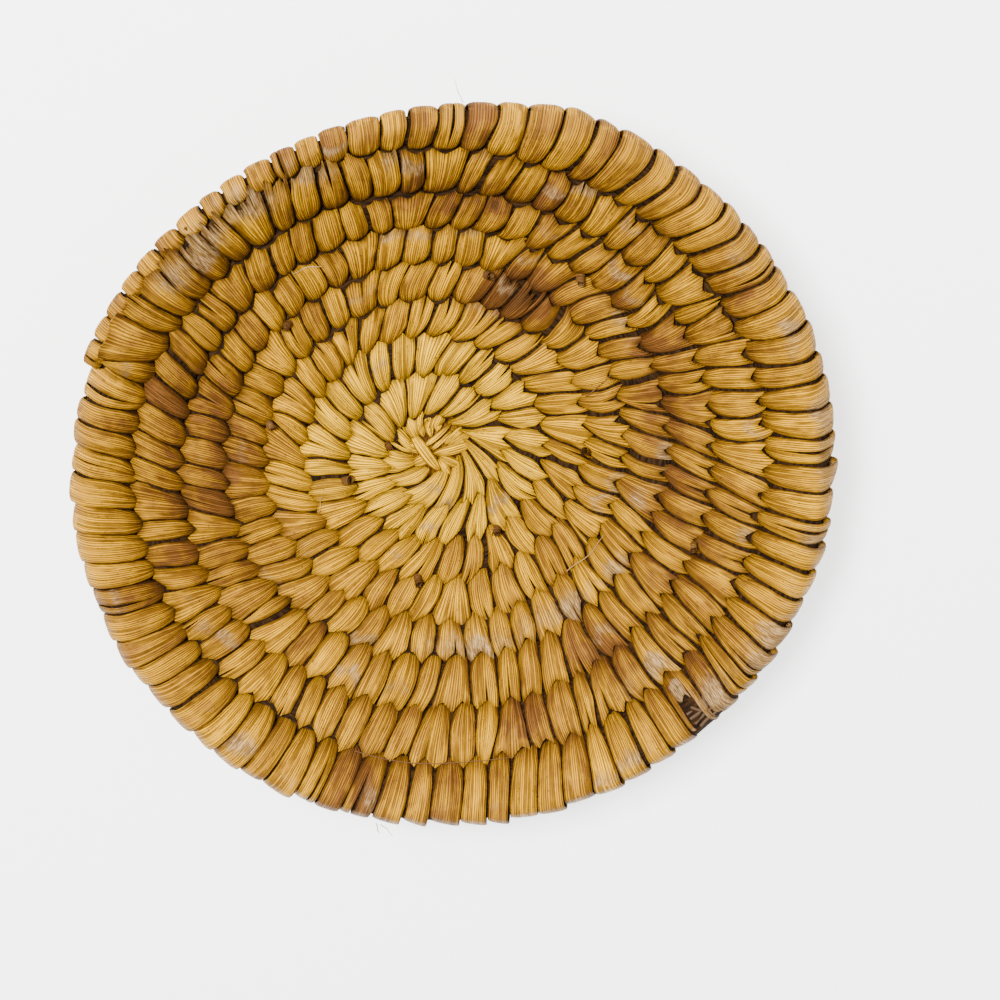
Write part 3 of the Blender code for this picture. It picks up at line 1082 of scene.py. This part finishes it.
def leaf_material(name, pale, deep):
    """Dried leaf: long dark veins, streaks, specks, worn patches, and shade near head and edges."""
    graph = Graph(name)
    across = graph.attribute("across_mm")
    along = graph.attribute("along_mm")
    seed = graph.attribute("seed")
    head = graph.attribute("head")
    own = graph.times(seed, 83.0)

    def grain(wide, long, **settings):
        """Noise drawn out along the leaf, and different on each stitch."""
        place = graph.vector(graph.times(across, wide), graph.times(along, long), own)
        return graph.noise(place, **settings)

    veins = grain(0.95, 0.018, detail=1)
    wander = grain(0.5, 0.03, detail=1)
    bands = grain(0.55, 0.03)
    blotch = grain(0.30, 0.22, detail=3)
    fading = grain(0.8, 0.16)

    vein_line = graph.fit(graph.maths("ABSOLUTE", graph.add(veins, -0.5)), 0.050, 0.012)
    fine_place = graph.add(graph.times(across, 1 / LINE_PITCH_MM), graph.times(wander, 1.5))
    fine_ridge = graph.maths("PINGPONG", graph.add(fine_place, graph.times(seed, 9.0)), 0.5)
    fine_line = graph.fit(fine_ridge, 0.25, 0.07)
    fade = graph.fit(graph.add(fading, graph.times(head, 0.25)), 0.32, 0.56, 0.40, 1.0)
    lines = graph.times(graph.maths("MAXIMUM", vein_line, fine_line), graph.times(fade, 0.90))

    depth = graph.add(graph.attribute("amber"), graph.times(graph.attribute("tone"), 0.13))
    depth = graph.add(depth, graph.fit(blotch, 0.30, 0.70, -0.16, 0.22))
    depth = graph.add(depth, graph.fit(bands, 0.30, 0.70, 0.09, -0.09))
    # Painted shade: the colour deepens towards the head, where it tucks under the row before
    depth = graph.add(depth, graph.times(head, 0.22))
    colour = graph.blend(graph.maths("MULTIPLY", depth, 1.0, clamp=True), pale, deep)
    colour = graph.blend(graph.fit(depth, 1.30, 2.10, 0.0, 0.85), colour, DARKEST_AMBER)
    colour = graph.blend(graph.times(lines, 0.85), colour, LINES)

    specks = graph.fit(grain(1.6, 1.1, detail=1), 0.68, 0.74)
    colour = graph.blend(graph.times(specks, 0.7), colour, SPECKS)

    wear = grain(0.8, 0.40, detail=3, roughness=0.6)
    shreds = grain(3.4, 0.45)
    worn = graph.fit(graph.add(graph.attribute("scuff"), graph.times(wear, 0.7)), 0.62, 1.20)
    taupe = graph.blend(graph.fit(shreds, 0.42, 0.60), *WORN)
    colour = graph.blend(graph.times(worn, 0.80), colour, taupe)

    # Painted shade: the strip darkens towards the shade colour at its sides, tip and slits and near its
    # head
    shade_amount = graph.times(graph.attribute("painted_shade"), graph.fit(blotch, 0.25, 0.75, 0.65, 1.0))
    shade_amount = graph.add(shade_amount, graph.times(graph.times(head, head), 0.60))
    colour = graph.blend(graph.maths("MULTIPLY", shade_amount, 0.90, clamp=True), colour, PAINTED_SHADE_COLOUR)
    graph.shade("Base Color", colour)

    gloss = graph.fit(bands, 0.30, 0.70, 0.52, 0.38)
    graph.shade("Roughness", graph.add(gloss, graph.times(worn, 0.25)))
    height = graph.add(graph.times(bands, 0.8), graph.times(lines, -0.95))
    height = graph.add(height, graph.times(veins, 0.8))
    height = graph.add(height, graph.times(graph.times(worn, wear), -0.5))
    graph.bump(height, RELIEF)
    graph.shade("Specular IOR Level", LEAF_GLOSS)
    graph.shade("Specular Tint", SHEEN)
    return graph.material


def grass_material(name, dark, light):
    """Dry stems laid lengthwise, their colours darkened as painted shade for the gaps where they show."""
    graph = Graph(name)
    across = graph.attribute("across_mm")
    along = graph.attribute("along_mm")
    stems = graph.noise(graph.vector(graph.times(across, 1.6), graph.times(along, 0.10), 0.0), detail=3)
    fine = graph.noise(graph.vector(graph.times(across, 6.0), graph.times(along, 0.3), 5.0))
    colour = graph.blend(graph.fit(stems, 0.35, 0.65), dark, light)
    graph.shade("Base Color", colour)
    graph.shade("Roughness", 0.8)
    graph.shade("Specular IOR Level", GRASS_GLOSS)
    graph.bump(graph.add(stems, graph.times(fine, 0.4)), GRASS_RELIEF)
    return graph.material


def make_bundle(marks, paint):
    """The grass bundle: a fluted tube that runs inside the stitches from knot to tip."""
    first = marks[0]
    last = marks[-1] - BUNDLE_END_LEFT
    power = BUNDLE_SQUARENESS
    mesh, layers = new_mesh()
    grid = bmesh.ops.create_grid(mesh, x_segments=4 * BUNDLE_STRANDS, y_segments=BUNDLE_STEPS, size=1.0)
    for vert in grid["verts"]:
        around = (vert.co.x + 1) / 2
        share = (vert.co.y + 1) / 2
        turn = first + (last - first) * share
        width, thick = coil_size(turn, coil_frame(turn)[4])
        angle = TAU * around
        flute = 1 - BUNDLE_FLUTE * abs(math.sin(BUNDLE_STRANDS / 2 * angle + 9 * turn))
        squared = (abs(math.cos(angle)) ** power + abs(math.sin(angle)) ** power) ** (-1 / power)
        side = BUNDLE_OVERLAP
        if math.cos(angle) > 0 and turn > TURNS - 1:
            side = BUNDLE_RIM_SIDE if abs(turn - BREAK_TURN) > BREAK_REACH else BUNDLE_BREAK_SIDE
        across = width / 2 + (width / 2 + side) * squared * math.cos(angle)
        up = (thick - BUNDLE_DEPTH) * flute * squared * math.sin(angle)
        vert.co = coil_point(turn, across, up, BUNDLE_FLOOR)
        vert[layers["across_mm"]] = around * 30
        vert[layers["along_mm"]] = turn * TAU * middle_radius(turn) / MM
    bmesh.ops.remove_doubles(mesh, verts=mesh.verts, dist=0.000001)
    rims = [edge for edge in mesh.edges if edge.is_boundary]
    bmesh.ops.holes_fill(mesh, edges=rims, sides=0)
    bmesh.ops.recalc_face_normals(mesh, faces=mesh.faces)
    dress(finish_mesh(mesh, "grass_bundle", paint), "foundation_bundle")


def dome_height(radius):
    """Height of the low dome that the knot's strips lie on, above its middle."""
    share = min(1.0, radius / KNOT_DOME_RADIUS)
    return KNOT_HEIGHT / 2 * math.sqrt(1 - share ** 2)


def make_knot(draw, paint):
    """Strips that cross over a low dome, where the coil starts."""
    mesh, layers = new_mesh()
    low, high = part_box("start_knot")
    middle = (low.z + high.z) / 2
    ball = bmesh.ops.create_uvsphere(mesh, u_segments=28, v_segments=12, radius=1.0)
    for vert in ball["verts"]:
        vert.co = Vector((CENTRE_X + vert.co.x * KNOT_BALL_RADIUS,
                          CENTRE_Y + vert.co.y * KNOT_BALL_RADIUS,
                          middle + vert.co.z * (KNOT_HEIGHT / 2 - KNOT_BALL_SINK)))
        # Painted shade on the ball beneath the strips
        mark(layers, vert, vert.co.x, vert.co.y, seed=0.3, tone=-0.4, amber=0.9, scuff=0.2, painted_shade=0.8)
    for side in (1, -1):
        for x0, y0, x1, y1, wide, rise in KNOT_STRIPS:
            start = Vector((x0, y0 * side)) * MM
            along = Vector((x1, y1 * side)) * MM - start
            beside = Vector((-along.y, along.x)).normalized()
            seed = draw.random()
            grid = bmesh.ops.create_grid(mesh, x_segments=6, y_segments=9, size=1.0)
            verts = grid["verts"]
            for vert in verts:
                x = vert.co.x
                q = (vert.co.y + 1) / 2
                taper = (1 - max(0.0, 2 * q - 1) ** 2.5 * 0.75) * (0.6 + 0.4 * min(1.0, 4 * q))
                place = start + along * q + beside * x * wide / 2 * MM * taper
                height = dome_height(place.length) + rise * MM * math.sin(math.pi * (0.15 + 0.7 * q))
                height -= 0.45 * MM * x ** 4 - 0.3 * MM
                spot = Vector((CENTRE_X + place.x, CENTRE_Y + place.y, middle + side * height))
                vert.co = Vector((spot.x, spot.y, max(UNDERSIDE, spot.z)))
                # Painted shade: darker towards the strip's sides and both its ends
                painted_shade = max(abs(x) ** 7, 0.8 * q ** 9, 0.8 * (1 - q) ** 9)
                mark(layers, vert, x * wide / 2 * MM, along.length * q, seed, 2 * seed - 1, 0.1, 0.15, painted_shade)
            faces = faces_of(verts)
            mesh.normal_update()
            if (faces[0].normal.z > 0) == (side > 0):
                bmesh.ops.reverse_faces(mesh, faces=faces)
            bmesh.ops.solidify(mesh, geom=verts + faces, thickness=-STRIP_THICKNESS)
    dress(finish_mesh(mesh, "start_knot_strips", paint), "start_knot")


def add_curl(mesh, layers, place, outward, size, draw):
    """A clipped splint end: a short strip rolled up on itself."""
    seed = draw.random()
    beside = Vector((-outward.y, outward.x, 0)).normalized()
    tilt = draw.uniform(0, TAU)
    axis = (Vector((0, 0, 1)) + outward * 0.7 * math.cos(tilt) + beside * 0.7 * math.sin(tilt)).normalized()
    cross = axis.cross(beside).normalized()
    other = axis.cross(cross)
    grid = bmesh.ops.create_grid(mesh, x_segments=14, y_segments=3, size=1.0)
    verts = grid["verts"]
    phase = draw.uniform(0, TAU)
    for vert in verts:
        share = (vert.co.x + 1) / 2
        angle = phase + share * CURL_TURNS * TAU
        radius = size * (CURL_CORE + (1 - CURL_CORE) * share)
        length = vert.co.y * size * (1.0 + 0.25 * math.sin(angle))
        vert.co = place + axis * length + (cross * math.cos(angle) + other * math.sin(angle)) * radius
        # The last value is painted shade, darkest in the curl's core
        mark(layers, vert, length, share * 8 * MM, seed, 2 * seed - 1, 0.8, 0.35, 0.8 - 0.6 * share)
    faces = faces_of(verts)
    bmesh.ops.solidify(mesh, geom=verts + faces, thickness=CURL_THICKNESS)


def make_curls(draw, paint):
    """A curl on each clipped splint end."""
    for number, turn in enumerate(CLIPPED_ENDS, start=1):
        node = f"clipped_end_{number:02d}"
        low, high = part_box(node)
        mesh, layers = new_mesh()
        place = Vector(((low.x + high.x) / 2, (low.y + high.y) / 2, high.z - 0.7 * MM))
        outward = Vector((math.cos(TAU * turn), math.sin(TAU * turn), 0.3)).normalized()
        add_curl(mesh, layers, place, outward, draw.uniform(*CURL_SIZES_MM) * MM, draw)
        dress(finish_mesh(mesh, f"{node}_curl", paint), node)


def make_fibres(name, fibres, draw, paint):
    """Loose fibres as thin closed tubes along the coil."""
    steps = FIBRE_STEPS
    mesh = bmesh.new()
    for turn0, across0, turn1, across1, rise, thick, wave in fibres:
        phase = draw.uniform(0, TAU)
        line = []
        for index in range(steps + 1):
            share = index / steps
            turn = turn0 + (turn1 - turn0) * share
            across = (across0 + (across1 - across0) * share) * MM
            across += wave * MM * math.sin(phase + 5 * share) * math.sin(math.pi * share)
            width, half = coil_size(turn, coil_frame(turn)[4])
            up = crown(min(across, width), width, half) if across < width else half * 0.5
            up += (rise + 0.3 * math.sin(phase + 9 * share)) * MM
            line.append(coil_point(turn, across, up))
        grid = bmesh.ops.create_grid(mesh, x_segments=FIBRE_SIDES, y_segments=steps, size=1.0)
        verts = grid["verts"]
        for vert in verts:
            index = round((vert.co.y + 1) / 2 * steps)
            ahead = line[min(index + 1, steps)] - line[max(index - 1, 0)]
            beside = ahead.cross(Vector((0, 0, 1))).normalized()
            over = beside.cross(ahead).normalized()
            angle = math.pi * vert.co.x
            thin = thick * MM * (1 - 0.6 * (index / steps) ** 3)
            vert.co = line[index] + (beside * math.cos(angle) + over * math.sin(angle)) * thin
        bmesh.ops.remove_doubles(mesh, verts=verts, dist=0.000002)
    rims = [edge for edge in mesh.edges if edge.is_boundary]
    bmesh.ops.holes_fill(mesh, edges=rims, sides=0)
    bmesh.ops.recalc_face_normals(mesh, faces=mesh.faces)
    made = finish_mesh(mesh, name, paint)
    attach(made, ROOT)


def make_stage():
    """Pale floor, even sky and one soft lamp from the upper left."""
    floor_mesh = bmesh.new()
    bmesh.ops.create_grid(floor_mesh, x_segments=1, y_segments=1, size=4.0)
    paint = plain_material("floor", FLOOR_COLOUR, 0.7)
    shader = paint.node_tree.nodes["Principled BSDF"]
    shader.inputs["Emission Color"].default_value = (1.0, 1.0, 1.0, 1)
    shader.inputs["Emission Strength"].default_value = FLOOR_GLOW
    floor = finish_mesh(floor_mesh, "floor", paint)
    world = bpy.data.worlds.new("studio")
    world.use_nodes = True
    sky = world.node_tree.nodes["Background"]
    sky.inputs["Color"].default_value = SKY_COLOUR
    sky.inputs["Strength"].default_value = SKY_STRENGTH
    bpy.context.scene.world = world
    lamp_data = bpy.data.lights.new("key", "AREA")
    lamp_data.energy = KEY_WATTS
    lamp_data.size = KEY_SIZE
    lamp = bpy.data.objects.new("key", lamp_data)
    lamp.location = KEY_PLACE
    lamp.rotation_euler = (-lamp.location).to_track_quat("-Z", "Y").to_euler()
    bpy.context.scene.collection.objects.link(lamp)


def main():
    make_camera()
    draw = random.Random(SEED)
    marks = stitch_marks()
    stitches, heads = make_stitches(marks, draw)
    straw = leaf_material("leaf_straw", *STRAW)
    ochre = leaf_material("leaf_ochre", *OCHRE)
    dry = leaf_material("leaf_dry", *DRY)
    grass = grass_material("grass", *GRASS_IN_PAINTED_SHADE)
    for number, (start, end) in enumerate(splint_runs(), start=1):
        early = number <= SHORT_SPLINTS
        paint = straw if early else ochre
        make_splint(number, stitches[start:end], heads, paint)
    make_bundle(marks, grass)
    make_knot(draw, straw)
    make_curls(draw, dry)
    make_fibres("brown_fibres", BROWN_FIBRES, draw, plain_material("brown_fibre", BROWN_FIBRE, 0.6))
    make_fibres("broken_stems", BROKEN_STEMS, draw, plain_material("stem", STEM, 0.9))
    make_fibres("pale_fibres", PALE_FIBRES, draw, plain_material("pale_fibre", PALE_FIBRE, 0.5))
    make_stage()


main()
